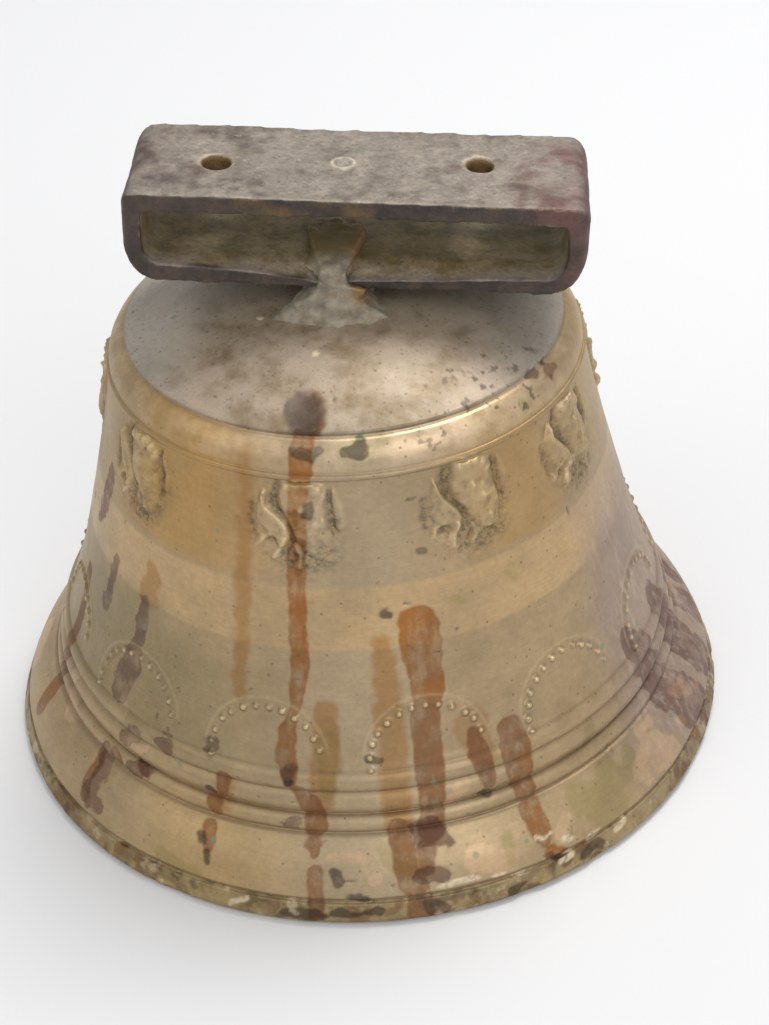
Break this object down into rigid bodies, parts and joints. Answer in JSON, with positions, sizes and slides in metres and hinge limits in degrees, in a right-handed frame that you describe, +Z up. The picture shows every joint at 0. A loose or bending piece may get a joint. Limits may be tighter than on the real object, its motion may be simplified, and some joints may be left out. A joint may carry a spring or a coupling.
{
  "type": "cow bell",
  "caption": "Cast bronze animal bell with a flared lip, turned rings, a wide loop for a neck strap and a free-hanging ball clapper.",
  "frame": {"origin": "centre of the mouth, in the plane of the rim that the bell stands on", "axes": "+Z up along the bell's axis, X along the strap loop, whose low end is at +X"},
  "size_m": [0.19, 0.19, 0.1597],
  "materials": {
    "bell_bronze": "aged cast bronze, ochre to olive, with rust runs and a worn bright shoulder",
    "loop_patina": "dark purple-brown patina, gritty, with worn golden edges",
    "neck_bronze": "rough run bronze, grey-green with yellow-brown spots",
    "forged_iron": "hammered iron, dark with rust"
  },
  "bodies": {
    "bell": {"bell_shell": "bell_bronze", "strap_loop": "loop_patina", "neck_foot": "neck_bronze", "neck_head": "neck_bronze", "clapper_staple": "forged_iron"},
    "link": {"hanger_link": "forged_iron"},
    "clapper": {"clapper_rod": "forged_iron", "clapper_ball": "forged_iron"}
  },
  "joints": [
    {"name": "clapper_swing", "type": "hinge", "parent": "bell", "child": "link", "pos_m": [0, 0, 0.1], "axis": [1, 0, 0], "range_deg": [-41, 41]},
    {"name": "clapper_sway", "type": "hinge", "parent": "link", "child": "clapper", "pos_m": [0, 0, 0.085], "axis": [0, 1, 0], "range_deg": [-8, 8]}
  ]
}
